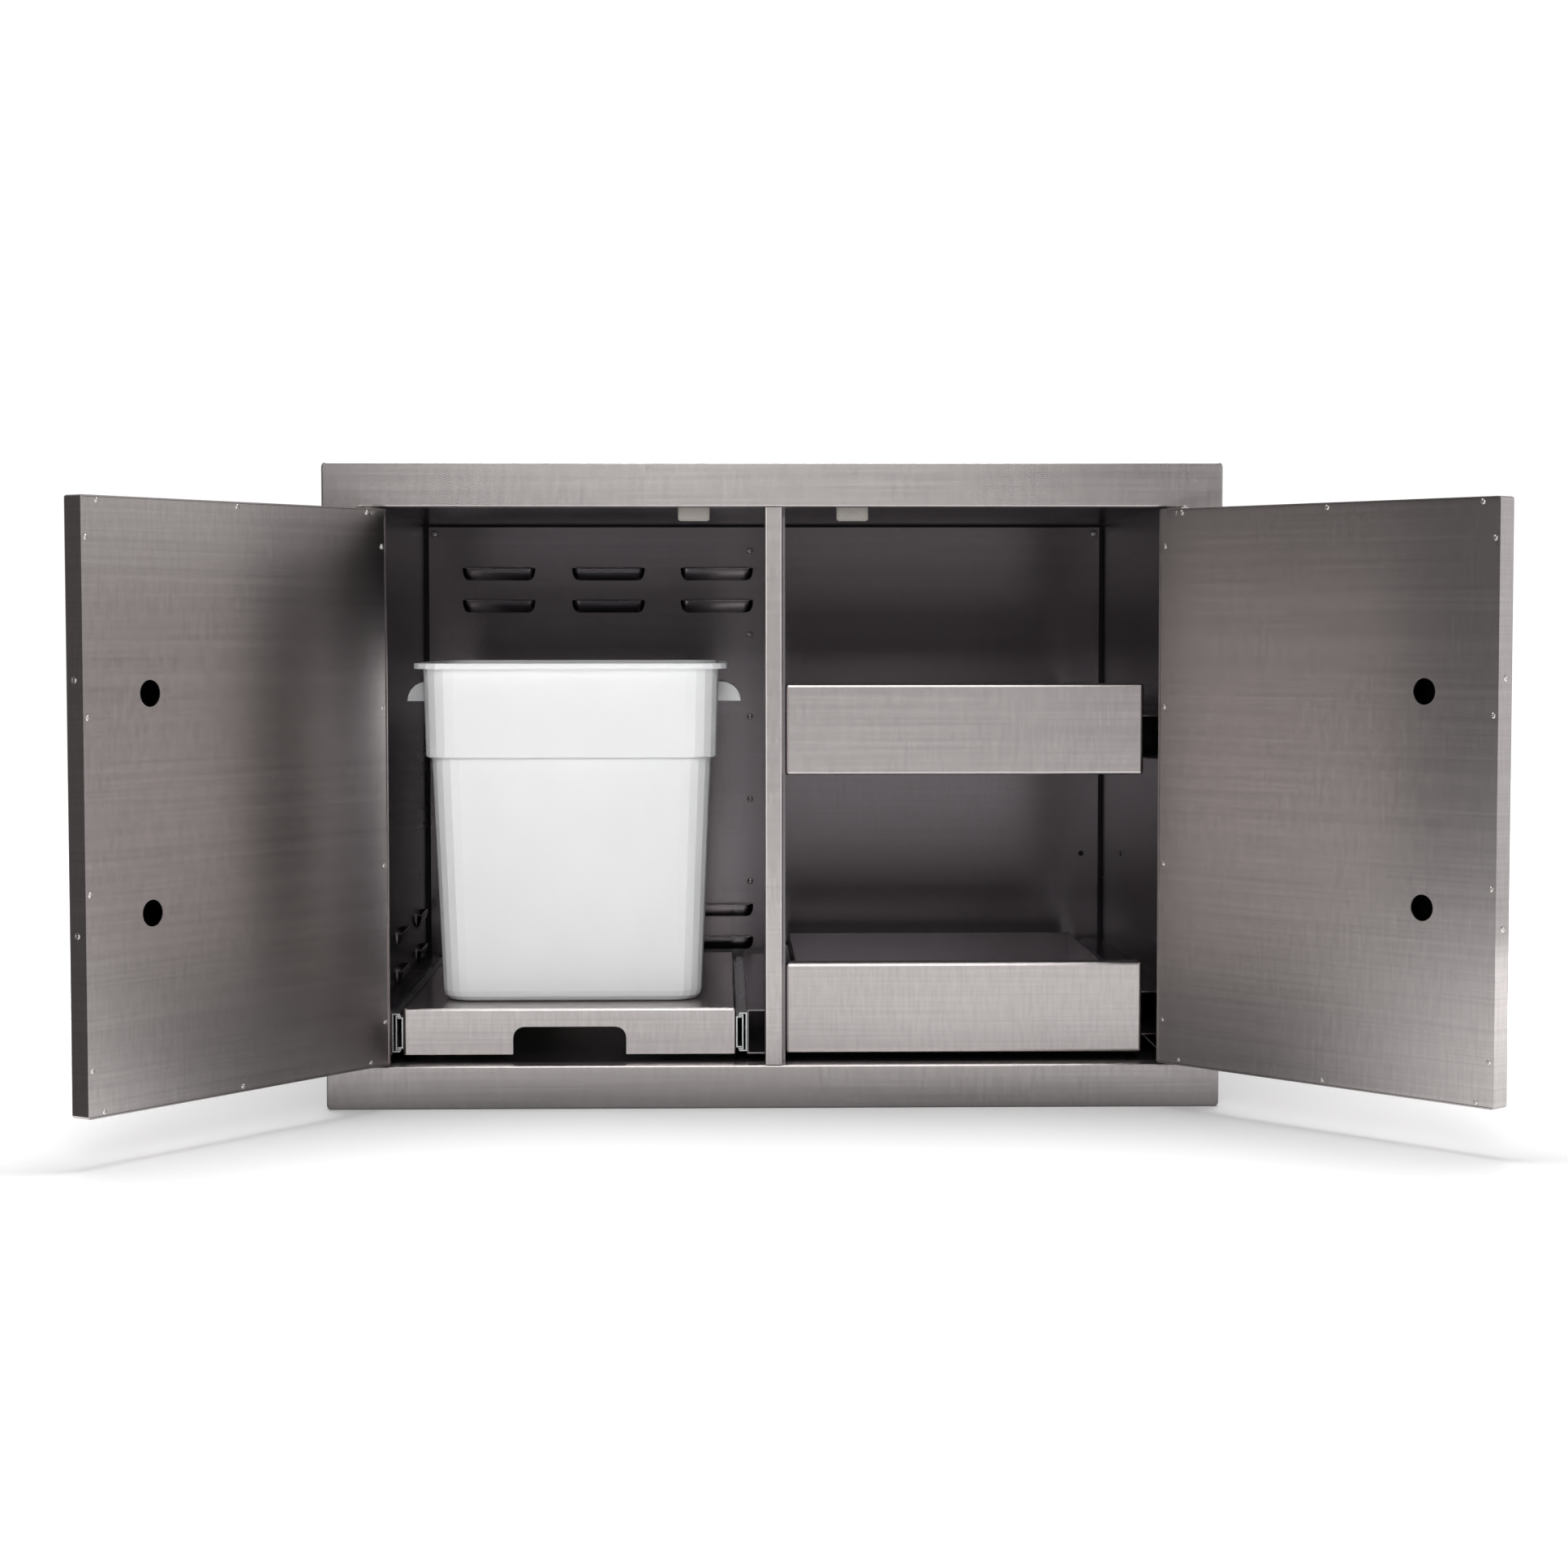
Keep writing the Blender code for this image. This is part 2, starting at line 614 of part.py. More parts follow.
def bin_profile():
    """Half width, height and corner radius of each ring, up the outside, over the rim and down the inside."""
    outside = []
    for inset, rise in fold_arc(BIN_BASE_RADIUS, 3):
        outside.append((BIN_BASE_HALF - inset, rise))
    collar = BIN_STEP_HALF + 0.0052
    rim_under = BIN_HEIGHT - BIN_RIM_THICK
    outside += [(BIN_STEP_HALF, BIN_STEP_RISE), (collar, BIN_STEP_RISE + 0.002)]
    outside += [(BIN_COLLAR_HALF, rim_under), (BIN_RIM_HALF, rim_under), (BIN_RIM_HALF, BIN_HEIGHT)]
    inside = [
        (BIN_COLLAR_HALF - BIN_WALL, BIN_HEIGHT),
        (collar - BIN_WALL, BIN_STEP_RISE + 0.002),
        (BIN_STEP_HALF - BIN_WALL, BIN_STEP_RISE - BIN_WALL),
        (BIN_BASE_HALF - BIN_WALL, BIN_BASE_RADIUS + BIN_WALL),
        (BIN_BASE_HALF - BIN_BASE_RADIUS, BIN_WALL),
    ]
    return outside + inside


def make_bin(carrier_x, material):
    """A square container, open at the top, that stands on the tray and lifts off it."""
    centre_y = behind(INNER_FRONT + BIN_SET_BACK + BIN_RIM_HALF)
    base = TRAY_TOP + GAP
    lift = joint_empty("bin_lift", (carrier_x, centre_y, base))
    rings = []
    for half, rise in bin_profile():
        corner = BIN_CORNER - (BIN_RIM_HALF - half) / 3
        low = (carrier_x - half, centre_y - half)
        outline = rounded_rectangle(low, (carrier_x + half, centre_y + half), corner, 5)
        rings.append([(x, y, base + rise) for x, y in outline])
    body = bmesh.new()
    draw_loft(body, rings, closed=False)
    container = add_object("trash_bin", body, material, lift)
    reach = BIN_HANDLE_LENGTH / 2
    hooks = bmesh.new()
    pockets = bmesh.new()
    for way in (-1, 1):
        solid = hook_outline(carrier_x, way, base, 0.0)
        draw_prism(hooks, solid, 1, centre_y - reach, centre_y + reach)
        hollow = hook_outline(carrier_x, way, base, BIN_WALL)
        draw_prism(pockets, hollow, 1, centre_y - reach + BIN_WALL, centre_y + reach - BIN_WALL)
    boolean(container, add_object("hook_tool", hooks, None, lift), "UNION", "hooks")
    boolean(container, add_object("pocket_cutter", pockets, None, lift), "DIFFERENCE", "pockets")


def hook_outline(centre_x, way, base, wall):
    """A quarter round that stands out from the bin's side, or the hollow that is one wall smaller inside it."""
    top = base + BIN_HANDLE_TOP - wall
    radius = BIN_HANDLE_DROP - wall
    start = BIN_COLLAR_HALF - BIN_WALL / 2 - GAP if wall == 0.0 else BIN_COLLAR_HALF + GAP
    end = BIN_HANDLE_HALF - wall
    tip = top - radius if wall == 0.0 else top - radius - 2 * wall
    points = [(start, tip), (start, top)]
    for step in range(6):
        turn = math.radians(90 * step / 5)
        points.append((end - radius + radius * math.sin(turn), top - radius + radius * math.cos(turn)))
    if wall:
        points.append((end, tip))
    return [(centre_x + way * x, z) for x, z in points]


def main():
    clear_scene()
    steel = metal_or_plastic("brushed_stainless", (0.62, 0.59, 0.56), 0.32, 1.0)
    inner_steel = metal_or_plastic("inner_stainless", (0.50, 0.48, 0.46), 0.38, 1.0)
    bright = metal_or_plastic("polished_stainless", (0.74, 0.72, 0.70), 0.18, 1.0)
    zinc = metal_or_plastic("zinc_plated_steel", (0.66, 0.68, 0.68), 0.35, 1.0)
    white = metal_or_plastic("white_polyethylene", (0.88, 0.89, 0.88), 0.42, 0.0)
    grey = metal_or_plastic("grey_plastic", (0.35, 0.35, 0.36), 0.50, 0.0)
    make_face_frame(steel)
    make_mullion(steel)
    make_side_panels(inner_steel)
    make_top_and_bottom(inner_steel)
    make_back_panel(inner_steel)
    make_divider(inner_steel)
    make_catches(grey)
    make_door("left", -1, LEFT_DOOR_ANGLE, steel, bright)
    make_door("right", 1, RIGHT_DOOR_ANGLE, steel, bright)
    make_tray(steel, zinc)
    make_bin((TRAY_LEFT + TRAY_RIGHT) / 2, white)
    for name, bottom in DRAWER_BOTTOMS.items():
        make_drawer(name, bottom, steel, zinc)


main()
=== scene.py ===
"""Looks of the built-in double-door cabinet: brushed stainless sheet, zinc slides, a white moulded bin.

Lengths are in metres, angles in degrees and powers in watts. X runs to the right, Y to the back, Z up.
"""

import json
import math

import bmesh
import bpy
from mathutils import Matrix, Vector


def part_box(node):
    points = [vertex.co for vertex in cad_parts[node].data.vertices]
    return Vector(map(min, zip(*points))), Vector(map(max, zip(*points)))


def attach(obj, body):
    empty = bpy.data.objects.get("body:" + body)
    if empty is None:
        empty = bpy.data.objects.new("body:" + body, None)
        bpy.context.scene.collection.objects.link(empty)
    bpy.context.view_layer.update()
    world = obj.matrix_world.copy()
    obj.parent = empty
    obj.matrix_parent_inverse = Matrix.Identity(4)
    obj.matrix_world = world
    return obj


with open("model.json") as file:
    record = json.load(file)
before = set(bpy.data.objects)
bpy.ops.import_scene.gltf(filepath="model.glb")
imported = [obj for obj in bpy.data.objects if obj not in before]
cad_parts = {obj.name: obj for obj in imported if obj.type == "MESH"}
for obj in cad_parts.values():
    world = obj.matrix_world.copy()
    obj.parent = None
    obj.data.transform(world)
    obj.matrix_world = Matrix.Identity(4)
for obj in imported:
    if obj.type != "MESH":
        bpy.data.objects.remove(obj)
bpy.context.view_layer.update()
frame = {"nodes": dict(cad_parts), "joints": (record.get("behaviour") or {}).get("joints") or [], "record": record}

TO_LEFT = Vector((-1.0, 0.0, 0.0))
TO_RIGHT = Vector((1.0, 0.0, 0.0))
TO_FRONT = Vector((0.0, -1.0, 0.0))
TO_BACK = Vector((0.0, 1.0, 0.0))
UP = Vector((0.0, 0.0, 1.0))

FRAME_LOW, FRAME_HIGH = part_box("face_frame")
FRONT_Y = FRAME_LOW.y

# Camera, from the front plane of the face frame
CAMERA_X = -0.0473
CAMERA_DISTANCE = 2.598
CAMERA_Z = 0.4313
CAMERA_YAW = 1.244
CAMERA_PITCH = 3.084
CAMERA_ROLL = -0.036
CAMERA_REACH = 60.0
SENSOR_MM = 36.0
LENS_MM = 67.0

# Steel. The colours are linear, and the grain's scales are counts per metre.
STEEL_DARK = (0.50, 0.463, 0.458)
STEEL_LIGHT = (0.62, 0.58, 0.572)
STEEL_ROUGHNESS = 0.24
# The inside sheet is the same steel with a much darker colour: painted shade of the cabinet's inside.
INNER_SHADED_DARK = (0.228, 0.208, 0.220)
INNER_SHADED_LIGHT = (0.266, 0.243, 0.256)
INNER_ROUGHNESS = 0.25
FINE_ALONG = 5.0
FINE_ACROSS = 420.0
COARSE_ALONG = 1.5
COARSE_ACROSS = 130.0
FLECKS = (380.0, 380.0, 50.0)
PATCHES = (3.0, 3.0, 3.0)
FINE_SHARE = 0.40
COARSE_SHARE = 0.20
FLECK_SHARE = 0.35
STREAK_ROUGHNESS_SHARE = 0.35
PATCH_ROUGHNESS_SHARE = 0.65
ROUGHNESS_DROP = 0.02
ROUGHNESS_RISE = 0.025
GRAIN_DEPTH = 0.00002
GRAIN_STRENGTH = 0.02
SMEAR = 0.8
SMEAR_DIRECTION = (0.0, 0.05, 1.0)

# How far a face's normal has to point up or down, or along a direction, to count as facing that way
LEVEL_FROM = 0.7
FACING_FROM = 0.9

# Grey plastic of the magnet catches
GREY_DARK = (0.22, 0.205, 0.185)
GREY_LIGHT = (0.29, 0.27, 0.245)
GREY_ROUGHNESS = 0.45

# Roughness of the doors' folded edges, as a share of that of their faces
EDGE_ROUGHNESS = 0.3

# Range that most of a noise texture's values lie in, and the way in which a seed shifts it
NOISE_LOW = 0.3
NOISE_HIGH = 0.7
SEED_SHIFT = (1.0, 0.7, 1.3)

# Rounding of the sheet edges
EDGE_RADIUS = 0.00025
EDGE_SEGMENTS = 2
EDGE_ANGLE = 40.0
SMOOTH_ANGLE = 38.0

# Round forms and small plates. SUNK is how far their undersides lie inside the sheet.
ROUND_STEPS = 20
CORNER_STEPS = 3
SUNK = 0.0001

# Door screws. Their places are shares of the liner's or the shell's size, from the hinge or the bottom.
SCREW_RADIUS = 0.0023
SCREW_RISE = 0.0009
LINER_SCREW_INSET = 0.0038
LINER_ROW_INSET = LINER_SCREW_INSET * 0.7
LINER_SCREWS_ALONG = (0.065, 0.515, 0.955)
LINER_SCREWS_UP = (0.075, 0.360, 0.645, 0.935)
EDGE_SCREWS_UP = (0.295, 0.705)
EDGE_SCREW_RADIUS = SCREW_RADIUS * 1.2

# Plate at each door's top corner, down from the liner's top edge
PLATE_LENGTH = 0.017
PLATE_RISE = 0.0006
PLATE_TOP = 0.0004
PLATE_BOTTOM = 0.0042
PLATE_RADIUS = 0.0012

# Louvres. HOOD_LIFT keeps the hood's inner skin clear of the panel.
HOOD_WIDTH = 0.077
HOOD_HEIGHT = 0.013
HOOD_DEPTH = 0.0038
HOOD_SHEET = 0.0008
HOOD_LIFT = 0.0009
HOOD_COLUMNS = 24
HOOD_ROWS = 8
HOOD_END = HOOD_HEIGHT * 0.45
HOOD_STEEPNESS = 1.25
# The lip is a bright rim that paints a highlight along each louvre's open edge.
LIP_RADIUS = 0.0006
LIP_INSET = HOOD_HEIGHT * 0.25
LIP_STEPS = 8
BACK_LOUVRE_X = (-0.282, -0.166, -0.051)
BACK_LOUVRE_Z = (0.487, 0.453, 0.129, 0.094)
SIDE_LOUVRE_DEPTH = (0.247, 0.425)
SIDE_LOUVRE_Z = (0.129, 0.093)

# Sections of a louvre's lip: place along it, size of the bead, and how far it sinks into the hood
LIP_SECTIONS = ((-1.0, 0.3, 0.5), (-0.97, 1.0, 0.0), (0.97, 1.0, 0.0), (1.0, 0.3, 0.5))

# Box: thickness of its sheet, and the open joints around the back panel, which are drawn as near-black strips of
# painted shade
SHEET = 0.0013
GAP_WIDTH = 0.0034
GAP_THICKNESS = 0.0004
GAP_CLEARANCE = 0.0002
GAP_FOOT = 0.001
GAP_RADIUS = 0.0002

# Screws of the back panel, each with its radius and rise
DIVIDER_SCREW_X = -0.016
DIVIDER_SCREW_Z = (0.512, 0.423, 0.336, 0.248, 0.160, 0.072)
DIVIDER_SCREW = (0.0030, 0.0016)
CORNER_SCREW_X = 0.350
CORNER_SCREW_Z = 0.530
CORNER_SCREW = (0.0035, 0.0022)

# Holes in the right compartment, drawn as dark discs of painted shade, as a turned profile of radius and height
HOLE_PROFILE = ((0.0028, 0.0), (0.0028, 0.0002), (0.0012, 0.0003))
BACK_HOLE_X = 0.338
BACK_HOLE_Z = 0.189
SIDE_HOLE_DEPTH = 0.358
SIDE_HOLE_Z = 0.200

# Rivets on the outsides of the side panels
RIVET_INSET = 0.016
RIVETS_IN_ROW = 6
RIVET = (0.0028, 0.0011)

# Screws in the outer slide members, at shares of their length
SLIDE_SHEET = 0.0011
SLIDE_SCREWS_ALONG = (0.07, 0.30, 0.62, 0.93)
SLIDE_SCREW = (0.0034, 0.0012)

# Studio. The room grows brighter as the direction turns to the back, between two shares of Y in it.
FLOOR_Z = 0.0
FLOOR_RADIUS = 6.0
FLOOR_COLOUR = (0.90, 0.90, 0.905)
FLOOR_ROUGHNESS = 0.8
FLOOR_BOARD_Z = FLOOR_Z - 0.004
DOME_RADIUS = 12.0
DOME_STRENGTH = 1.05
ROOM_COLOUR = (1.0, 0.95, 0.95)
ROOM_STRENGTH = 0.10
REAR_STRENGTH = 0.5
REAR_START = 0.05
REAR_END = 0.7
WHITE = (1.0, 1.0, 1.0)
BLACK = (0.0, 0.0, 0.0)


def place_camera():
    data = bpy.data.cameras.new("camera")
    data.sensor_width = SENSOR_MM
    data.lens = LENS_MM
    data.clip_end = CAMERA_REACH
    camera = bpy.data.objects.new("camera", data)
    bpy.context.scene.collection.objects.link(camera)
    camera.location = (CAMERA_X, FRONT_Y - CAMERA_DISTANCE, CAMERA_Z)
    turn = Matrix.Rotation(math.radians(-CAMERA_YAW), 4, "Z")
    tilt = Matrix.Rotation(math.radians(90 - CAMERA_PITCH), 4, "X")
    roll = Matrix.Rotation(math.radians(CAMERA_ROLL), 4, "Z")
    camera.rotation_euler = (turn @ tilt @ roll).to_euler()
    bpy.context.scene.camera = camera


# ---------------------------------------------------------------- materials


class Nodes:
    """Short calls for building one material's node tree.

    The mix node takes its factor at input 0, its numbers at 2 and 3, and its colours at 6 and 7.
    """

    def __init__(self, name, colour, roughness, metallic):
        self.material = bpy.data.materials.new(name)
        self.material.use_nodes = True
        self.tree = self.material.node_tree
        self.shader = self.tree.nodes["Principled BSDF"]
        self.value("Base Color", (*colour, 1.0))
        self.value("Roughness", roughness)
        self.value("Metallic", metallic)

    def add(self, kind, **settings):
        node = self.tree.nodes.new(kind)
        for key, value in settings.items():
            setattr(node, key, value)
        return node

    def link(self, output, target):
        self.tree.links.new(output, target)

    def value(self, name, value):
        self.shader.inputs[name].default_value = value

    def drive(self, name, output):
        """Lets an output decide one of the shader's values."""
        self.link(output, self.shader.inputs[name])

    def noise(self, scale, detail=2.0, seed=0.0):
        """Noise over the piece's own coordinates, stretched by one scale for each axis."""
        place = self.add("ShaderNodeTexCoord")
        mapping = self.add("ShaderNodeMapping")
        mapping.inputs["Scale"].default_value = scale
        mapping.inputs["Location"].default_value = [seed * share for share in SEED_SHIFT]
        noise = self.add("ShaderNodeTexNoise")
        noise.inputs["Scale"].default_value = 1.0
        noise.inputs["Detail"].default_value = detail
        self.link(place.outputs["Object"], mapping.inputs["Vector"])
        self.link(mapping.outputs["Vector"], noise.inputs["Vector"])
        return noise.outputs["Fac"]

    def math(self, operation, first, second=0.0):
        node = self.add("ShaderNodeMath", operation=operation)
        for slot, given in enumerate((first, second)):
            if isinstance(given, (int, float)):
                node.inputs[slot].default_value = given
            else:
                self.link(given, node.inputs[slot])
        return node.outputs[0]

    def weighted_sum(self, *pairs):
        """Sum of outputs, each multiplied by its share."""
        total = None
        for output, share in pairs:
            term = self.math("MULTIPLY", output, share)
            total = term if total is None else self.math("ADD", total, term)
        return total

    def spread(self, source, low, high):
        """Maps noise from its usual middle range to low..high."""
        node = self.add("ShaderNodeMapRange")
        node.inputs["From Min"].default_value = NOISE_LOW
        node.inputs["From Max"].default_value = NOISE_HIGH
        node.inputs["To Min"].default_value = low
        node.inputs["To Max"].default_value = high
        self.link(source, node.inputs["Value"])
        return node.outputs[0]

    def mix_by(self, factor, first, second):
        node = self.add("ShaderNodeMix", data_type="FLOAT")
        self.link(factor, node.inputs[0])
        self.link(first, node.inputs[2])
        self.link(second, node.inputs[3])
        return node.outputs[0]

    def colour_between(self, source, dark, light):
        """Base colour that follows a noise, from dark to light."""
        node = self.add("ShaderNodeMix", data_type="RGBA")
        self.link(self.spread(source, 0.0, 1.0), node.inputs[0])
        node.inputs[6].default_value = (*dark, 1.0)
        node.inputs[7].default_value = (*light, 1.0)
        self.drive("Base Color", node.outputs[2])

    def bump(self, height, distance, strength):
        node = self.add("ShaderNodeBump")
        node.inputs["Strength"].default_value = strength
        node.inputs["Distance"].default_value = distance
        self.link(height, node.inputs["Height"])
        self.drive("Normal", node.outputs["Normal"])


def facing_up(nodes):
    """1 on level faces and 0 on upright ones."""
    geometry = nodes.add("ShaderNodeNewGeometry")
    split = nodes.add("ShaderNodeSeparateXYZ")
    nodes.link(geometry.outputs["True Normal"], split.inputs["Vector"])
    return nodes.math("GREATER_THAN", nodes.math("ABSOLUTE", split.outputs["Z"]), LEVEL_FROM)


def facing_away(nodes, direction):
    """EDGE_ROUGHNESS on faces of the piece that look in one direction, and 1 on the others."""
    place = nodes.add("ShaderNodeTexCoord")
    along = nodes.add("ShaderNodeVectorMath", operation="DOT_PRODUCT")
    along.inputs[1].default_value = direction
    nodes.link(place.outputs["Normal"], along.inputs[0])
    away = nodes.math("LESS_THAN", along.outputs["Value"], FACING_FROM)
    return nodes.math("ADD", nodes.math("MULTIPLY", away, 1.0 - EDGE_ROUGHNESS), EDGE_ROUGHNESS)


def grain(nodes, level, along, across):
    """Noise in level streaks: slow along the sheet and quick across it."""
    upright_faces = nodes.noise((along, along, across))
    level_faces = nodes.noise((along, across, along))
    return nodes.mix_by(level, upright_faces, level_faces)


def brushed(name, dark, light, roughness, smooth_side=None):
    """Sheet brushed along its horizontal direction, with reflections smeared across the grain.

    smooth_side is the direction of faces that aren't brushed, such as a folded edge.
    """
    nodes = Nodes(name, light, roughness, metallic=1.0)
    nodes.value("Anisotropic", SMEAR)
    level = facing_up(nodes)
    fine = grain(nodes, level, FINE_ALONG, FINE_ACROSS)
    coarse = grain(nodes, level, COARSE_ALONG, COARSE_ACROSS)
    flecks = nodes.noise(FLECKS, detail=1.0, seed=4.0)
    patches = nodes.noise(PATCHES, seed=9.0)
    blend = nodes.weighted_sum((fine, FINE_SHARE), (coarse, COARSE_SHARE), (flecks, FLECK_SHARE))
    nodes.colour_between(blend, dark, light)
    rough = nodes.weighted_sum((coarse, STREAK_ROUGHNESS_SHARE), (patches, PATCH_ROUGHNESS_SHARE))
    rough = nodes.spread(rough, roughness - ROUGHNESS_DROP, roughness + ROUGHNESS_RISE)
    if smooth_side is not None:
        rough = nodes.math("MULTIPLY", rough, facing_away(nodes, smooth_side))
    nodes.drive("Roughness", rough)
    nodes.bump(fine, GRAIN_DEPTH, GRAIN_STRENGTH)
    smear = nodes.add("ShaderNodeCombineXYZ")
    for axis, share in zip("XYZ", SMEAR_DIRECTION):
        smear.inputs[axis].default_value = share
    nodes.drive("Tangent", smear.outputs[0])
    return nodes.material


def polished(name):
    """Drawn stainless bar: bright, with fine lines along its length."""
    nodes = Nodes(name, colour=(0.70, 0.68, 0.66), roughness=0.2, metallic=1.0)
    lines = nodes.noise((900.0, 900.0, 14.0))
    nodes.colour_between(lines, dark=(0.60, 0.58, 0.56), light=(0.76, 0.74, 0.72))
    nodes.drive("Roughness", nodes.spread(lines, 0.14, 0.26))
    nodes.bump(lines, distance=0.00005, strength=0.25)
    return nodes.material


def zinc(name):
    """Bright zinc plate: cool grey with faint spangle and rubbed streaks along the slide."""
    nodes = Nodes(name, colour=(0.68, 0.70, 0.70), roughness=0.33, metallic=1.0)
    place = nodes.add("ShaderNodeTexCoord")
    spangle = nodes.add("ShaderNodeTexVoronoi")
    spangle.inputs["Scale"].default_value = 260.0
    nodes.link(place.outputs["Object"], spangle.inputs["Vector"])
    streaks = nodes.noise((300.0, 6.0, 300.0), detail=3.0)
    mixed = nodes.weighted_sum((streaks, 0.7), (spangle.outputs["Distance"], 0.3))
    nodes.colour_between(mixed, dark=(0.52, 0.55, 0.55), light=(0.80, 0.82, 0.81))
    nodes.drive("Roughness", nodes.spread(streaks, 0.24, 0.42))
    nodes.bump(mixed, distance=0.00008, strength=0.3)
    return nodes.material


def polyethylene(name):
    """Milky moulded plastic that lets a little light through, with a fine satin texture."""
    nodes = Nodes(name, colour=(0.86, 0.87, 0.88), roughness=0.38, metallic=0.0)
    nodes.value("Subsurface Weight", 0.35)
    nodes.value("Subsurface Radius", (0.012, 0.012, 0.013))
    nodes.value("Subsurface Scale", 1.0)
    nodes.value("Specular IOR Level", 0.45)
    pebble = nodes.noise((900.0, 900.0, 900.0))
    cloud = nodes.noise((9.0, 9.0, 6.0), seed=2.0)
    nodes.colour_between(cloud, dark=(0.83, 0.845, 0.86), light=(0.89, 0.895, 0.90))
    nodes.drive("Roughness", nodes.spread(cloud, 0.34, 0.44))
    nodes.bump(pebble, distance=0.00006, strength=0.3)
    return nodes.material


def moulded(name, dark, light, roughness):
    """Plain moulded plastic with a pebbled surface."""
    nodes = Nodes(name, light, roughness, metallic=0.0)
    pebble = nodes.noise((700.0, 700.0, 700.0), detail=3.0)
    nodes.colour_between(pebble, dark, light)
    nodes.drive("Roughness", nodes.spread(pebble, roughness - 0.06, roughness + 0.08))
    nodes.bump(pebble, distance=0.0001, strength=0.4)
    return nodes.material


def painted_gap_shade(name):
    """Painted shade: a near-black surface standing in for the unlit inside of a gap between two sheets, with a
    faint random mottle.
    """
    nodes = Nodes(name, colour=(0.012, 0.012, 0.013), roughness=0.7, metallic=0.0)
    # Faint random variation in the near-black of the painted shade.
    gap_mottle = nodes.noise((120.0, 120.0, 120.0), detail=3.0)
    nodes.colour_between(gap_mottle, dark=(0.006, 0.006, 0.008), light=(0.016, 0.015, 0.016))
    nodes.drive("Roughness", nodes.spread(gap_mottle, 0.6, 0.8))
    return nodes.material


# ---------------------------------------------------------------- shared shapes


def add_piece(name, mesh_builder, material, body, matrix=None):
    """A piece drawn in the frame's coordinates, which rides on a body."""
    bmesh.ops.recalc_face_normals(mesh_builder, faces=mesh_builder.faces)
    mesh = bpy.data.meshes.new(name)
    mesh_builder.to_mesh(mesh)
    mesh_builder.free()
    if matrix:
        mesh.transform(matrix)
    mesh.shade_smooth()
    mesh.set_sharp_from_angle(angle=math.radians(SMOOTH_ANGLE))
    mesh.materials.append(material)
    piece = bpy.data.objects.new(name, mesh)
    bpy.context.scene.collection.objects.link(piece)
    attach(piece, body)


def loft(mesh, rings):
    """A closed skin over a row of rings of points, with a face on each end."""
    made = [[mesh.verts.new(point) for point in ring] for ring in rings]
    for first, second in zip(made, made[1:]):
        for here in range(len(first)):
            there = (here + 1) % len(first)
            mesh.faces.new([first[here], first[there], second[there], second[here]])
    mesh.faces.new(made[0])
    mesh.faces.new(made[-1])


def join_rows(mesh, first, second):
    """A strip of faces between two open rows of vertices."""
    for here in range(len(first) - 1):
        mesh.faces.new([first[here], first[here + 1], second[here + 1], second[here]])


def round_corners(low, high, radius):
    """Outline of a rectangle with rounded corners."""
    centres = (
        (high[0] - radius, low[1] + radius, -90),
        (high[0] - radius, high[1] - radius, 0),
        (low[0] + radius, high[1] - radius, 90),
        (low[0] + radius, low[1] + radius, 180),
    )
    points = []
    for x, y, first_angle in centres:
        for step in range(CORNER_STEPS + 1):
            angle = math.radians(first_angle + 90 * step / CORNER_STEPS)
            points.append((x + radius * math.cos(angle), y + radius * math.sin(angle)))
    return points


def draw_slab(mesh, low, high, radius):
    """A thin plate with rounded corners. Its thickness is along Y."""
    outline = round_corners((low[0], low[2]), (high[0], high[2]), radius)
    loft(mesh, [[(x, y, z) for x, z in outline] for y in (low[1], high[1])])


def turned(mesh, centre, normal, profile):
    """A round form on a flat face. The profile is pairs of radius and height, outermost first."""
    across = normal.orthogonal().normalized()
    other = normal.cross(across)
    rings = []
    for radius, height in profile:
        ring = []
        for step in range(ROUND_STEPS):
            turn = math.tau * step / ROUND_STEPS
            point = Vector(centre) + normal * height
            ring.append(point + (across * math.cos(turn) + other * math.sin(turn)) * radius)
        rings.append(ring)
    loft(mesh, rings)


def draw_screw(mesh, centre, normal, radius=SCREW_RADIUS, rise=SCREW_RISE):
    """A pan head with a round recess in its middle."""
    profile = [
        (radius, -SUNK),
        (radius, rise * 0.35),
        (radius * 0.90, rise * 0.75),
        (radius * 0.66, rise),
        (radius * 0.42, rise),
        (radius * 0.34, rise * 0.45),
        (radius * 0.12, rise * 0.25),
    ]
    turned(mesh, centre, normal, profile)


# ---------------------------------------------------------------- doors


def door_matrix(side):
    """From the closed door's place to where it stands at rest."""
    joint = next(j for j in frame["joints"] if j["name"] == f"{side}_door_hinge")
    pivot = Vector(joint["pos_m"])
    angle = math.radians(-joint["range_deg"][0])
    turn = Matrix.Rotation(angle, 4, Vector(joint["axis"]))
    return Matrix.Translation(pivot) @ turn @ Matrix.Translation(-pivot)


def closed_box(node, matrix):
    """Lowest and highest corner of a door's node when the door is shut."""
    back = matrix.inverted()
    points = [back @ v.co for v in frame["nodes"][node].data.vertices]
    low = Vector([min(p[axis] for p in points) for axis in range(3)])
    high = Vector([max(p[axis] for p in points) for axis in range(3)])
    return low, high


def draw_liner_screws(mesh, low, high, hinge_x, free_x):
    """Screws along all four edges of a door's inner face."""
    for z in (low.z + LINER_ROW_INSET, high.z - LINER_ROW_INSET):
        for share in LINER_SCREWS_ALONG:
            draw_screw(mesh, (hinge_x + (free_x - hinge_x) * share, high.y, z), TO_BACK)
    for x in (low.x + LINER_SCREW_INSET, high.x - LINER_SCREW_INSET):
        for share in LINER_SCREWS_UP:
            draw_screw(mesh, (x, high.y, low.z + (high.z - low.z) * share), TO_BACK)


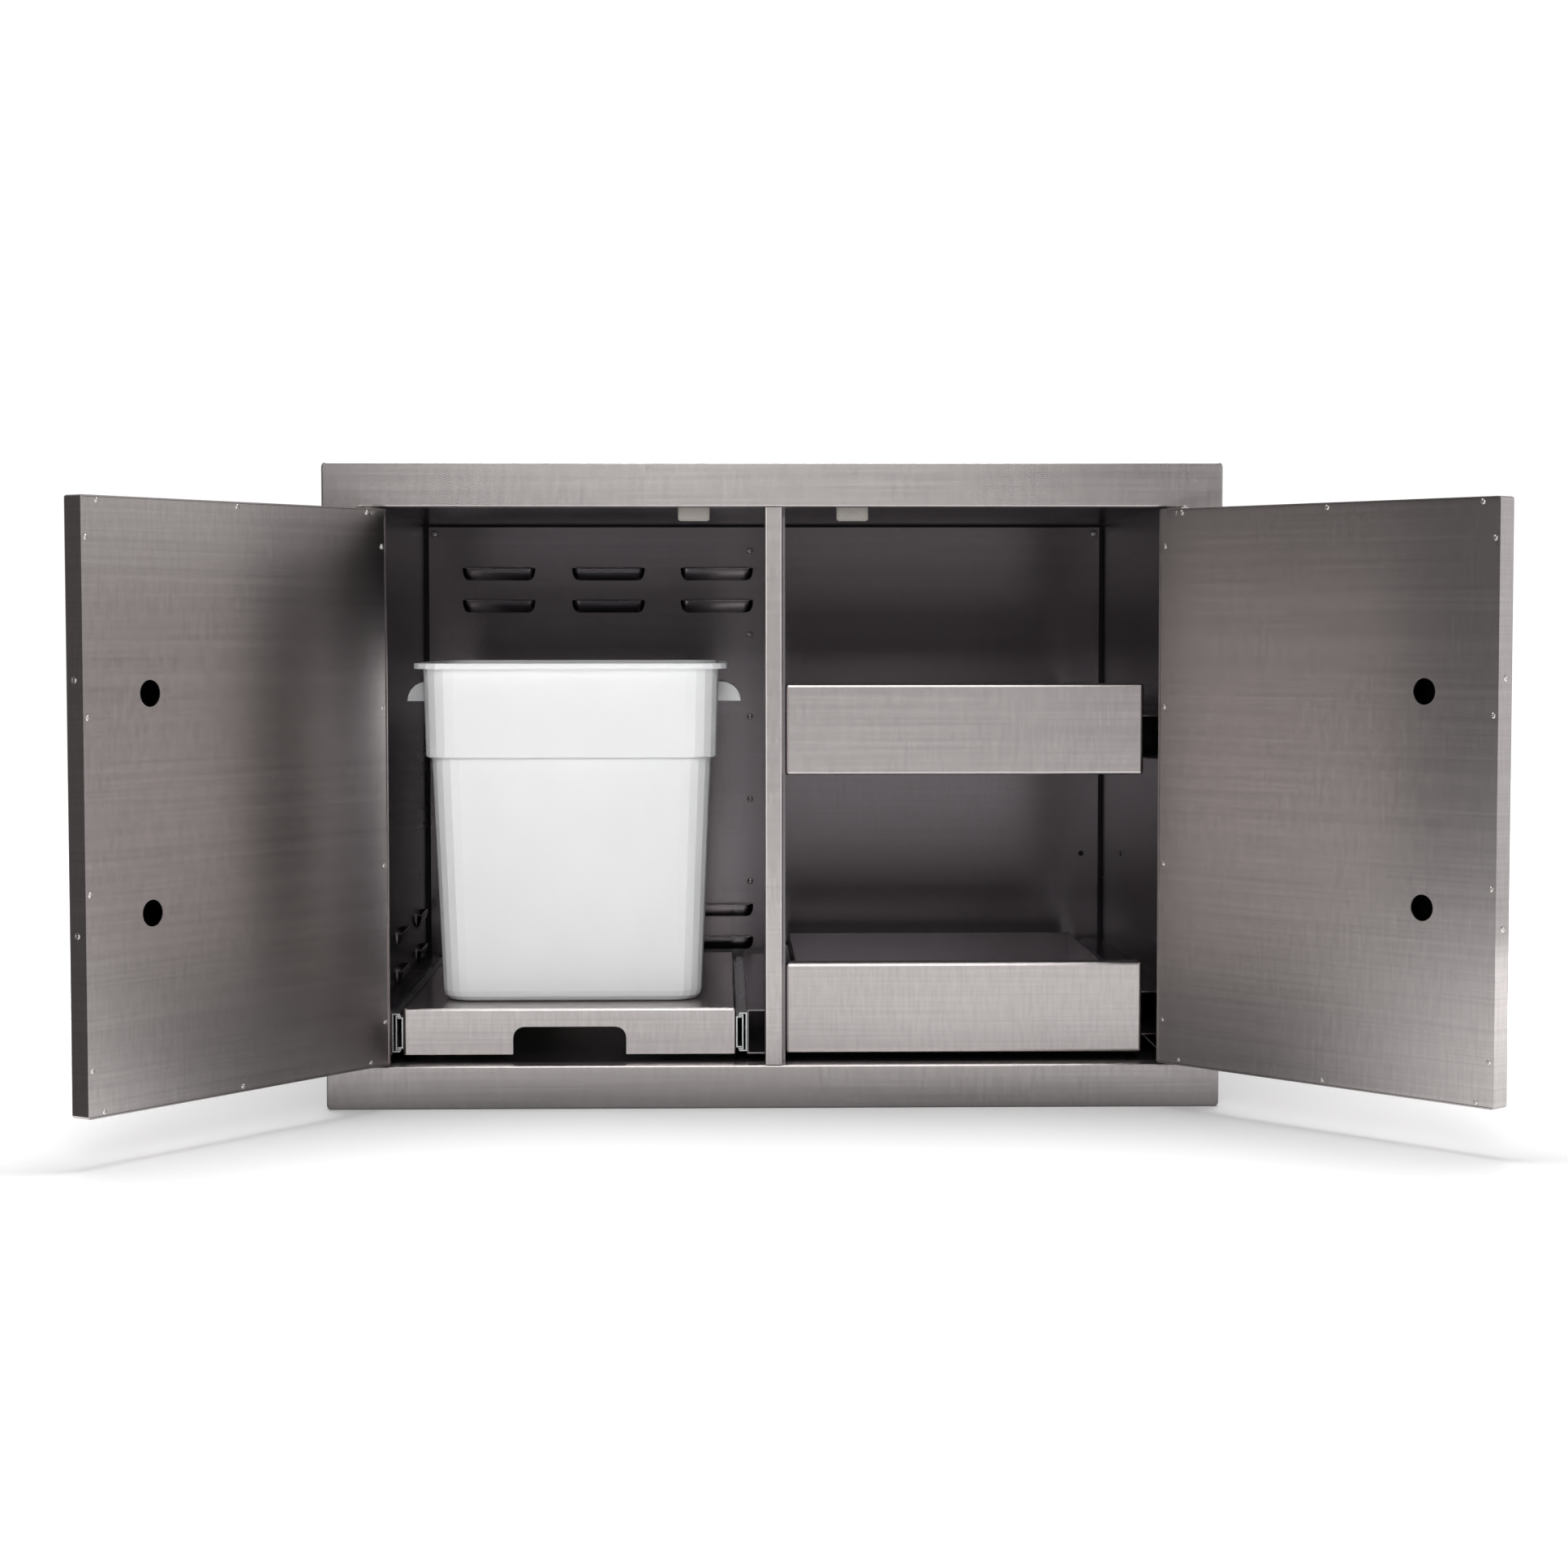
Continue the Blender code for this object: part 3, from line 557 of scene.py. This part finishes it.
def add_door_details(side, to_free_edge, bright):
    """Screws of the liner and the free edge, and the plate at the top corner by the hinge."""
    body = f"{side}_door"
    way = to_free_edge.x
    matrix = door_matrix(side)
    low, high = closed_box(f"{side}_door_liner", matrix)
    hinge_x, free_x = (low.x, high.x) if way > 0 else (high.x, low.x)
    screws = bmesh.new()
    draw_liner_screws(screws, low, high, hinge_x, free_x)
    add_piece(f"{side}_door_liner_screws", screws, bright, body, matrix)

    plate = bmesh.new()
    ends = (hinge_x, hinge_x + way * PLATE_LENGTH)
    low_corner = (min(ends), high.y - SUNK, high.z - PLATE_BOTTOM)
    high_corner = (max(ends), high.y + PLATE_RISE, high.z - PLATE_TOP)
    draw_slab(plate, low_corner, high_corner, PLATE_RADIUS)
    add_piece(f"{side}_door_corner_plate", plate, bright, body, matrix)

    edge = bmesh.new()
    shell_low, shell_high = closed_box(f"{side}_door_shell", matrix)
    edge_x = shell_high.x if way > 0 else shell_low.x
    middle = (shell_low.y + shell_high.y) / 2
    for share in EDGE_SCREWS_UP:
        z = shell_low.z + (shell_high.z - shell_low.z) * share
        draw_screw(edge, (edge_x, middle, z), to_free_edge, EDGE_SCREW_RADIUS)
    add_piece(f"{side}_door_edge_screws", edge, bright, body, matrix)


# ---------------------------------------------------------------- box


def hood_stand(rise, share, half):
    """How far a louvre stands out of the panel, at one height and one place along it."""
    end = min(1.0, (1 - abs(share)) * half / HOOD_END)
    return HOOD_DEPTH * math.sin(math.pi / 2 * min(1.0, rise * HOOD_STEEPNESS)) * math.sin(math.pi / 2 * end)


def draw_hood(mesh, centre, along, inward):
    """A pressed louvre: it curves out of the panel at its bottom and ends, and is open along its top edge."""
    straight = HOOD_WIDTH / 2 - HOOD_HEIGHT / 2
    skins = []
    for shift in (0.0, HOOD_SHEET):
        skin = []
        for row in range(HOOD_ROWS + 1):
            rise = row / HOOD_ROWS
            half = straight + HOOD_HEIGHT / 2 * math.sqrt(max(0.0, 1 - (1 - rise) ** 2))
            line = []
            for column in range(HOOD_COLUMNS + 1):
                share = -1 + 2 * column / HOOD_COLUMNS
                point = centre + along * (half * share) + UP * (HOOD_HEIGHT * (rise - 0.5))
                stand = hood_stand(rise, share, half) - shift + HOOD_LIFT
                line.append(mesh.verts.new(point + inward * stand))
            skin.append(line)
        skins.append(skin)
    front, back = skins
    for skin in skins:
        for lower, upper in zip(skin, skin[1:]):
            join_rows(mesh, lower, upper)
    for row in (0, -1):
        join_rows(mesh, front[row], back[row])
    for end in (0, -1):
        join_rows(mesh, [line[end] for line in front], [line[end] for line in back])


def draw_lip(mesh, centre, along, inward):
    """The rounded rim along the open edge of a louvre, in bright polished steel unlike its hood: a painted
    highlight.
    """
    half = HOOD_WIDTH / 2 - LIP_INSET
    middle = centre + UP * (HOOD_HEIGHT / 2) + inward * (HOOD_DEPTH + HOOD_LIFT - HOOD_SHEET / 2)
    rings = []
    for share, size, sunk in LIP_SECTIONS:
        section = middle - inward * (HOOD_DEPTH * sunk) + along * (half * share)
        ring = []
        for step in range(LIP_STEPS):
            turn = math.tau * step / LIP_STEPS
            ring.append(section + (UP * math.cos(turn) + inward * math.sin(turn)) * LIP_RADIUS * size)
        rings.append(ring)
    loft(mesh, rings)


def add_louvres(panel, centres, along, inward, steel, bright):
    """Hoods over one panel's slots, and the lips of their open edges in bright polished steel, a painted
    highlight.
    """
    hoods = bmesh.new()
    lips = bmesh.new()
    for centre in centres:
        draw_hood(hoods, centre, along, inward)
        draw_lip(lips, centre, along, inward)
    add_piece(f"{panel}_louvre_highlight_lips", lips, bright, "cabinet")
    add_piece(f"{panel}_louvres", hoods, steel, "cabinet")


def add_vents(steel, bright):
    """Louvres over the slots of the back panel and the left side panel."""
    back_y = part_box("back_panel")[0].y
    side_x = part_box("left_side_panel")[1].x
    on_back = [Vector((x, back_y, z)) for x in BACK_LOUVRE_X for z in BACK_LOUVRE_Z]
    on_side = [Vector((side_x, FRONT_Y + y, z)) for y in SIDE_LOUVRE_DEPTH for z in SIDE_LOUVRE_Z]
    add_louvres("back_panel", on_back, TO_RIGHT, TO_FRONT, steel, bright)
    add_louvres("side_panel", on_side, TO_BACK, TO_RIGHT, steel, bright)


def add_box_screws(bright):
    """Screws of the divider and the top corners, on the back panel."""
    back_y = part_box("back_panel")[0].y
    screws = bmesh.new()
    for z in DIVIDER_SCREW_Z:
        draw_screw(screws, (DIVIDER_SCREW_X, back_y, z), TO_FRONT, *DIVIDER_SCREW)
    for x in (-CORNER_SCREW_X, CORNER_SCREW_X):
        draw_screw(screws, (x, back_y, CORNER_SCREW_Z), TO_FRONT, *CORNER_SCREW)
    add_piece("back_panel_screws", screws, bright, "cabinet")


def add_back_gaps(gap):
    """The open joint where the back panel meets the top and the sides, drawn as thin near-black strips: painted
    shade.
    """
    low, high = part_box("back_panel")
    inside_left = low.x + SHEET
    inside_right = high.x - SHEET
    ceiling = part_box("top_panel")[0].z
    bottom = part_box("bottom_panel")[1].z + GAP_FOOT
    front = low.y - GAP_THICKNESS
    back = low.y - GAP_THICKNESS / 4
    gaps = bmesh.new()
    top_low = (inside_left, front, ceiling - GAP_WIDTH)
    draw_slab(gaps, top_low, (inside_right, back, ceiling - GAP_CLEARANCE), GAP_RADIUS)
    for x in (inside_left, inside_right - GAP_WIDTH):
        side_high = (x + GAP_WIDTH, back, ceiling - GAP_WIDTH - GAP_CLEARANCE)
        draw_slab(gaps, (x, front, bottom), side_high, GAP_RADIUS)
    add_piece("back_panel_gap_shade", gaps, gap, "cabinet")


def add_spare_holes(gap):
    """Two small open holes low in the right compartment, one in the back and one in the side, drawn as dark discs:
    painted shade.
    """
    back_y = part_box("back_panel")[0].y
    wall_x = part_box("back_panel")[1].x - SHEET
    holes = bmesh.new()
    turned(holes, (BACK_HOLE_X, back_y, BACK_HOLE_Z), TO_FRONT, HOLE_PROFILE)
    turned(holes, (wall_x, FRONT_Y + SIDE_HOLE_DEPTH, SIDE_HOLE_Z), TO_LEFT, HOLE_PROFILE)
    add_piece("right_compartment_hole_shade", holes, gap, "cabinet")


def add_side_rivets(steel):
    """Flat rivet heads along the front and rear seams, on the outsides of the side panels."""
    low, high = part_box("back_panel")
    pitch = (high.z - low.z - 2 * RIVET_INSET) / (RIVETS_IN_ROW - 1)
    for side, x, outward in (("left", low.x, TO_LEFT), ("right", high.x, TO_RIGHT)):
        rivets = bmesh.new()
        for y in (high.y - RIVET_INSET, FRAME_HIGH.y + RIVET_INSET):
            for step in range(RIVETS_IN_ROW):
                draw_screw(rivets, (x, y, low.z + RIVET_INSET + pitch * step), outward, *RIVET)
        add_piece(f"{side}_side_rivets", rivets, steel, "cabinet")


def add_slide_screws(zinc_plate):
    """Flat screws that hold each outer slide member on its rail, inside the channel."""
    for name in ("tray", "upper_drawer", "lower_drawer"):
        for side, into_channel in (("left", TO_RIGHT), ("right", TO_LEFT)):
            low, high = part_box(f"{name}_{side}_slide_outer")
            wall_x = low.x if side == "left" else high.x
            web_x = wall_x + into_channel.x * SLIDE_SHEET
            z = (low.z + high.z) / 2
            screws = bmesh.new()
            for share in SLIDE_SCREWS_ALONG:
                y = low.y + (high.y - low.y) * share
                draw_screw(screws, (web_x, y, z), into_channel, *SLIDE_SCREW)
            add_piece(f"{name}_{side}_slide_screws", screws, zinc_plate, "cabinet")


# ---------------------------------------------------------------- surroundings


def emitter(name, place, target, width, height, watts):
    """A rectangular soft light."""
    data = bpy.data.lights.new(name, "AREA")
    data.shape = "RECTANGLE"
    data.size = width
    data.size_y = height
    data.energy = watts
    light = bpy.data.objects.new(name, data)
    bpy.context.scene.collection.objects.link(light)
    light.location = place
    aim = Vector(target) - Vector(place)
    light.rotation_euler = aim.to_track_quat("-Z", "Y").to_euler()
    return light


def stage_object(name, mesh, material):
    data = bpy.data.meshes.new(name)
    mesh.to_mesh(data)
    mesh.free()
    data.shade_smooth()
    data.materials.append(material)
    made = bpy.data.objects.new(name, data)
    bpy.context.scene.collection.objects.link(made)
    return made


def glowing(name, strength):
    """A surface that only gives off white light."""
    glow = Nodes(name, BLACK, roughness=1.0, metallic=0.0)
    glow.value("Specular IOR Level", 0.0)
    glow.value("Emission Color", (*WHITE, 1.0))
    glow.value("Emission Strength", strength)
    return glow


def glow_by_distance(nodes, near, far, inner, outer, sideways=1.0):
    """Emission that changes from near to far between two distances from the middle of the front.

    sideways is how much a distance along X counts.
    """
    place = nodes.add("ShaderNodeTexCoord")
    weigh = nodes.add("ShaderNodeVectorMath", operation="MULTIPLY")
    weigh.inputs[1].default_value = (sideways, 1.0, 1.0)
    nodes.link(place.outputs["Object"], weigh.inputs[0])
    reach = nodes.add("ShaderNodeVectorMath", operation="LENGTH")
    nodes.link(weigh.outputs[0], reach.inputs[0])
    ramp = nodes.add("ShaderNodeMapRange", interpolation_type="SMOOTHSTEP")
    ramp.inputs["From Min"].default_value = inner
    ramp.inputs["From Max"].default_value = outer
    ramp.inputs["To Min"].default_value = near
    ramp.inputs["To Max"].default_value = far
    nodes.link(reach.outputs["Value"], ramp.inputs["Value"])
    nodes.drive("Emission Strength", ramp.outputs[0])


def board(name, place, target, width, height, strength=0.5):
    """A board outside the view, which only the steel mirrors."""
    mesh = bmesh.new()
    bmesh.ops.create_grid(mesh, x_segments=1, y_segments=1, size=0.5)
    aim = (Vector(target) - Vector(place)).to_track_quat("-Z", "Y").to_matrix().to_4x4()
    size = Matrix.Diagonal((width, height, 1.0, 1.0))
    bmesh.ops.transform(mesh, matrix=Matrix.Translation(place) @ aim @ size, verts=mesh.verts)
    look = glowing(name, strength)
    made = stage_object(name, mesh, look.material)
    made.visible_camera = False
    made.visible_shadow = False
    made.visible_diffuse = False
    return look


def set_floor():
    """A pale floor with painted light: it glows weakly near the cabinet and fully away from it, so that it turns
    evenly white away from the cabinet.
    """
    disc = bmesh.new()
    bmesh.ops.create_circle(disc, cap_ends=True, segments=64, radius=FLOOR_RADIUS)
    bmesh.ops.translate(disc, vec=(0.0, 0.0, FLOOR_Z), verts=disc.verts)
    paint = Nodes("floor", FLOOR_COLOUR, FLOOR_ROUGHNESS, metallic=0.0)
    paint.value("Specular IOR Level", 0.0)
    paint.value("Emission Color", (*WHITE, 1.0))
    # Painted light: the glow rises from weak near the cabinet to full farther out.
    glow_by_distance(paint, near=0.06, far=1.0, inner=0.50, outer=1.35)
    ground = stage_object("floor", disc, paint.material)
    ground.visible_glossy = False


def set_backdrop():
    """A white dome that only the camera sees."""
    dome = bmesh.new()
    bmesh.ops.create_uvsphere(dome, u_segments=48, v_segments=24, radius=DOME_RADIUS)
    backdrop = stage_object("backdrop", dome, glowing("backdrop", DOME_STRENGTH).material)
    backdrop.visible_diffuse = False
    backdrop.visible_glossy = False
    backdrop.visible_transmission = False
    backdrop.visible_shadow = False


def set_room():
    """Dim surroundings, which grow brighter smoothly towards the wall behind the cabinet."""
    world = bpy.data.worlds.new("studio")
    world.use_nodes = True
    tree = world.node_tree
    background = tree.nodes["Background"]
    background.inputs["Color"].default_value = (*ROOM_COLOUR, 1.0)
    place = tree.nodes.new("ShaderNodeTexCoord")
    split = tree.nodes.new("ShaderNodeSeparateXYZ")
    ramp = tree.nodes.new("ShaderNodeMapRange")
    ramp.inputs["From Min"].default_value = REAR_START
    ramp.inputs["From Max"].default_value = REAR_END
    ramp.inputs["To Min"].default_value = ROOM_STRENGTH
    ramp.inputs["To Max"].default_value = REAR_STRENGTH
    tree.links.new(place.outputs["Generated"], split.inputs["Vector"])
    tree.links.new(split.outputs["Y"], ramp.inputs["Value"])
    tree.links.new(ramp.outputs["Result"], background.inputs["Strength"])
    bpy.context.scene.world = world
    bpy.context.scene.view_settings.view_transform = "Standard"


def set_lights():
    """Soft light from above and in front. The fill lights the bin and leaves no mirror image."""
    above = (0.0, 0.35, 2.3)
    emitter("overhead", above, target=(0.0, 0.1, 0.0), width=2.0, height=1.2, watts=62.0)
    ahead = (0.0, -3.4, 2.0)
    emitter("front", ahead, target=(0.0, 0.0, 0.3), width=1.4, height=1.2, watts=24.0)
    beside = (-0.2, -2.8, 1.0)
    fill = emitter("fill", beside, target=(-0.1, 0.0, 0.3), width=1.5, height=1.0, watts=27.0)
    fill.visible_glossy = False


def set_boards():
    """Boards that the steel mirrors: right, front left, front right, behind, and low in front. The low one is a
    painted reflection of the floor, darker near the cabinet as painted shade.
    """
    middle = (0.0, 0.0, 0.4)
    board("right_board", (2.6, -0.8, 0.8), (0.0, -0.2, 0.3), width=3.2, height=2.4, strength=0.75)
    board("left_softbox", (-1.66, -3.4, 0.75), middle, width=1.22, height=2.4, strength=1.45)
    board("right_softbox", (1.74, -3.3, 0.75), middle, width=1.36, height=2.4, strength=1.2)
    board("rear_board", (0.0, 4.5, 1.3), (0.0, 0.0, 0.3), width=9.0, height=4.5, strength=0.5)
    # Painted reflection of the floor for the steel, with painted shade where its glow is weak near the cabinet.
    place = (0.75, -1.2, FLOOR_BOARD_Z)
    low = board("floor_reflection_board", place, (0.75, -1.2, -2.0), width=2.9, height=3.2)
    glow_by_distance(low, near=0.14, far=1.35, inner=0.10, outer=0.42, sideways=0.25)


# ---------------------------------------------------------------- the whole


def finish_nodes(looks):
    """Gives every CAD node its material, and the sheet edges a fine rounding."""
    slots = {part["node"]: part["material_slot"] for part in frame["record"]["subparts"]}
    for name, node in frame["nodes"].items():
        node.data.materials.clear()
        node.data.materials.append(looks[slots[name]])
        edge = node.modifiers.new("edge", "BEVEL")
        edge.width = EDGE_RADIUS
        edge.segments = EDGE_SEGMENTS
        edge.limit_method = "ANGLE"
        edge.angle_limit = math.radians(EDGE_ANGLE)


def finish_door_shell(side, to_free_edge):
    """A door's outer shell is brushed, apart from its folded free edge."""
    edge = (door_matrix(side).to_3x3() @ to_free_edge).normalized()
    steel = brushed(f"{side}_door_stainless", STEEL_DARK, STEEL_LIGHT, STEEL_ROUGHNESS, edge)
    frame["nodes"][f"{side}_door_shell"].data.materials[0] = steel


def main():
    place_camera()
    looks = {
        "brushed_stainless": brushed("brushed_stainless", STEEL_DARK, STEEL_LIGHT, STEEL_ROUGHNESS),
        # Inside steel, darkened as painted shade.
        "inner_stainless": brushed("inner_stainless", INNER_SHADED_DARK, INNER_SHADED_LIGHT, INNER_ROUGHNESS),
        "polished_stainless": polished("polished_stainless"),
        "zinc_plated_steel": zinc("zinc_plated_steel"),
        "white_polyethylene": polyethylene("white_polyethylene"),
        "grey_plastic": moulded("grey_plastic", GREY_DARK, GREY_LIGHT, GREY_ROUGHNESS),
    }
    bright = looks["polished_stainless"]
    # Near-black painted shade for the open gaps and holes.
    gap = painted_gap_shade("painted_gap_shade")
    doors = (("left", TO_RIGHT), ("right", TO_LEFT))
    finish_nodes(looks)
    for side, to_free_edge in doors:
        finish_door_shell(side, to_free_edge)
    for side, to_free_edge in doors:
        add_door_details(side, to_free_edge, bright)
    add_vents(looks["inner_stainless"], bright)
    add_box_screws(bright)
    add_back_gaps(gap)
    add_spare_holes(gap)
    add_side_rivets(looks["brushed_stainless"])
    add_slide_screws(looks["zinc_plated_steel"])
    set_floor()
    set_backdrop()
    set_room()
    set_lights()
    set_boards()


main()
